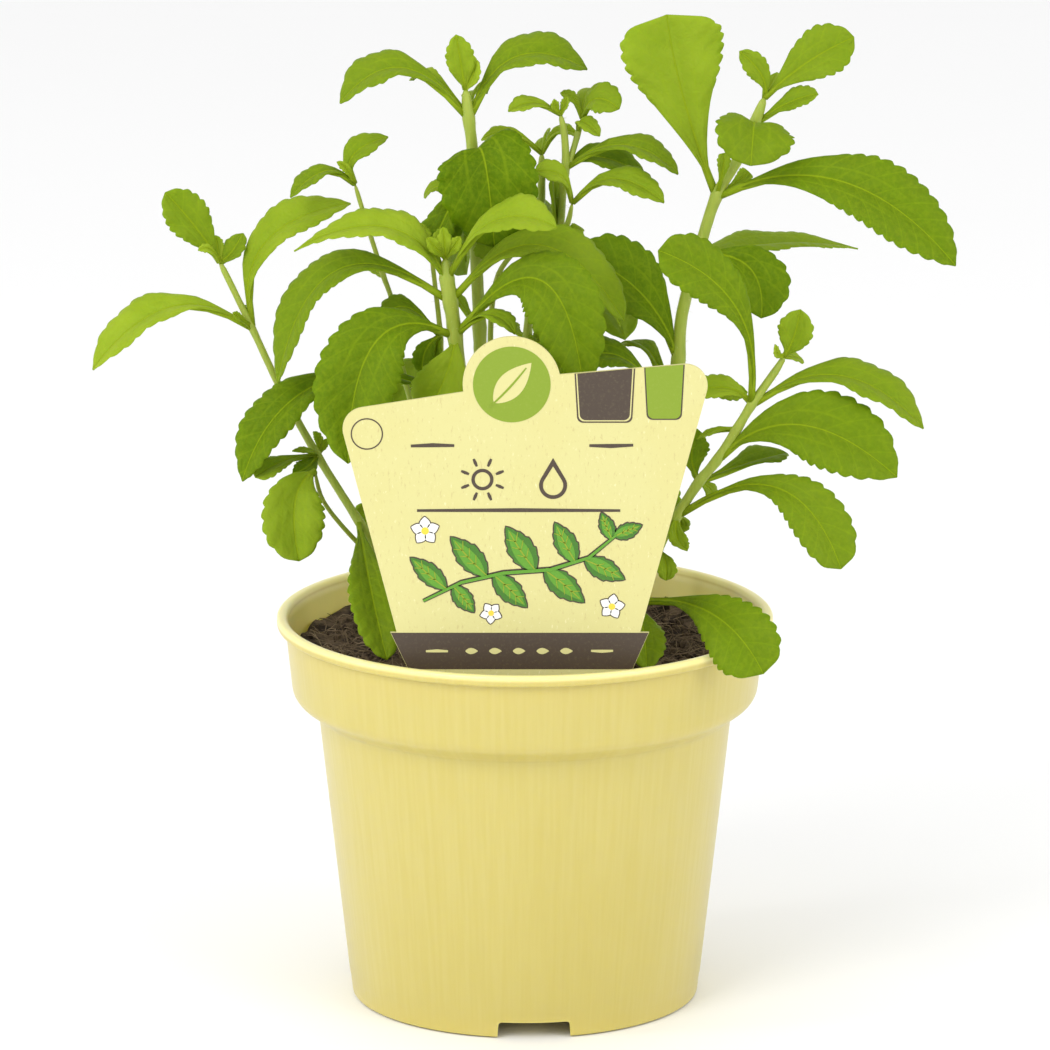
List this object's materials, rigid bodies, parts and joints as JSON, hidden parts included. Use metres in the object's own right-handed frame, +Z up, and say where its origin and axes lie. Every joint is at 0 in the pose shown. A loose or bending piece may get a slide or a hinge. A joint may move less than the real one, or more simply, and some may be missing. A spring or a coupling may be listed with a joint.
{
  "type": "potted stevia plant",
  "caption": "Bushy stevia herb with toothed leaves on upright stems, in a round tapered nursery pot with soil and a card plant label.",
  "frame": {"origin": "middle of the pot's foot, on the surface it stands on", "axes": "+Z up along the pot's axis, -Y towards the front where the label stands, +X to the viewer's right"},
  "size_m": [0.2061, 0.12, 0.2412],
  "materials": {
    "pot_plastic": "satin",
    "soil": "matte",
    "card": "satin",
    "leaf": "satin"
  },
  "bodies": {
    "root": {"plant_label": "card", "pot": "pot_plastic", "soil": "soil", "stem_back_left": "leaf", "stem_back_right": "leaf", "stem_centre": "leaf", "stem_front": "leaf", "stem_left": "leaf", "stem_left_inner": "leaf", "stem_left_thin": "leaf", "stem_mid": "leaf", "stem_mid_right": "leaf", "stem_right_low": "leaf", "stem_right_tall": "leaf"}
  },
  "joints": []
}
